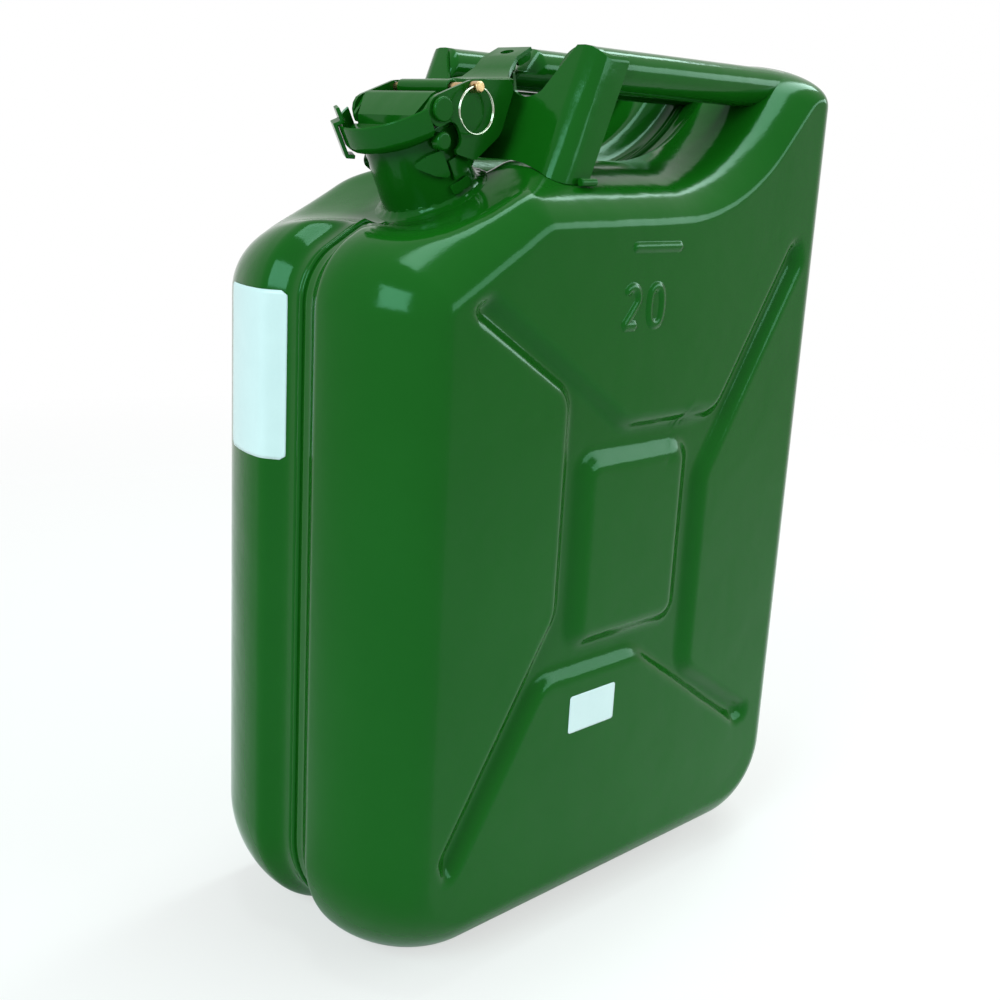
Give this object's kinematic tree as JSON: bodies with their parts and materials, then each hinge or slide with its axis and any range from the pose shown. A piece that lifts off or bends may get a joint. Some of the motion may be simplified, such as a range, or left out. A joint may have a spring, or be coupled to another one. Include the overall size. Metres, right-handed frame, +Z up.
{
  "type": "metal jerry can",
  "caption": "Pressed steel fuel can with a leaning pouring spout, a lever-closed lid, a pinned lever and carrying bars",
  "frame": {"origin": "middle of the can's base, on the surface it stands on", "axes": "+Z up, +X towards the raised rear end, so the spout leans forward over -X, and the wide faces look along -Y and +Y"},
  "size_m": [0.343, 0.1664, 0.476],
  "materials": {
    "green_paint": "glossy dark green enamel over pressed and welded steel",
    "brass": "dull turned brass",
    "bright_wire": "bright yellowish plated spring wire",
    "black_rubber": "matt black fuel-proof rubber",
    "bare_steel": "bare drawn or plated steel"
  },
  "bodies": {
    "can": {"shell_near": "green_paint", "shell_far": "green_paint", "seam_weld": "green_paint", "spout": "green_paint", "spout_collar": "green_paint", "catch_lug_near": "green_paint", "catch_lug_far": "green_paint", "spout_weld_near": "green_paint", "spout_weld_far": "green_paint", "trunnion_near": "green_paint", "trunnion_far": "green_paint", "bracket_weld_near": "green_paint", "bracket_weld_far": "green_paint", "hinge_bracket": "green_paint", "hinge_pin": "green_paint", "handle_bracket": "green_paint", "bar_near": "green_paint", "bar_centre": "green_paint", "bar_far": "green_paint", "breather_pipe": "bare_steel"},
    "lid": {"lid_cap": "green_paint", "lid_gasket": "black_rubber", "gasket_plate": "bare_steel", "gasket_rivet": "bare_steel", "lid_strap": "green_paint", "lid_bridge": "green_paint", "front_clip": "green_paint", "pivot_rivet_near": "green_paint", "pivot_rivet_far": "green_paint"},
    "lever": {"lever_frame": "green_paint", "spacer_tube": "green_paint"},
    "safety_pin": {"safety_pin": "brass"},
    "pull_ring": {"pull_ring": "bright_wire"}
  },
  "joints": [
    {"name": "lid_hinge", "type": "hinge", "parent": "can", "child": "lid", "pos_m": [-0.06619, 0, 0.43692], "axis": [0, 1, 0], "range_deg": [0, 90]},
    {"name": "lever_pivot", "type": "hinge", "parent": "lid", "child": "lever", "pos_m": [-0.10524, 0, 0.4388], "axis": [0, -1, 0], "range_deg": [0, 90]},
    {"name": "pin_slide", "type": "slide", "parent": "lever", "child": "safety_pin", "axis": [0, -1, 0], "range_m": [0, 0.064]},
    {"name": "ring_swing", "type": "hinge", "parent": "safety_pin", "child": "pull_ring", "pos_m": [-0.08584, -0.033, 0.45003], "axis": [-1, 0, 0], "range_deg": [0, 80]}
  ],
  "couplings": [
    {"joint": "lever_pivot", "follows": "lid_hinge", "ratio": 1}
  ]
}
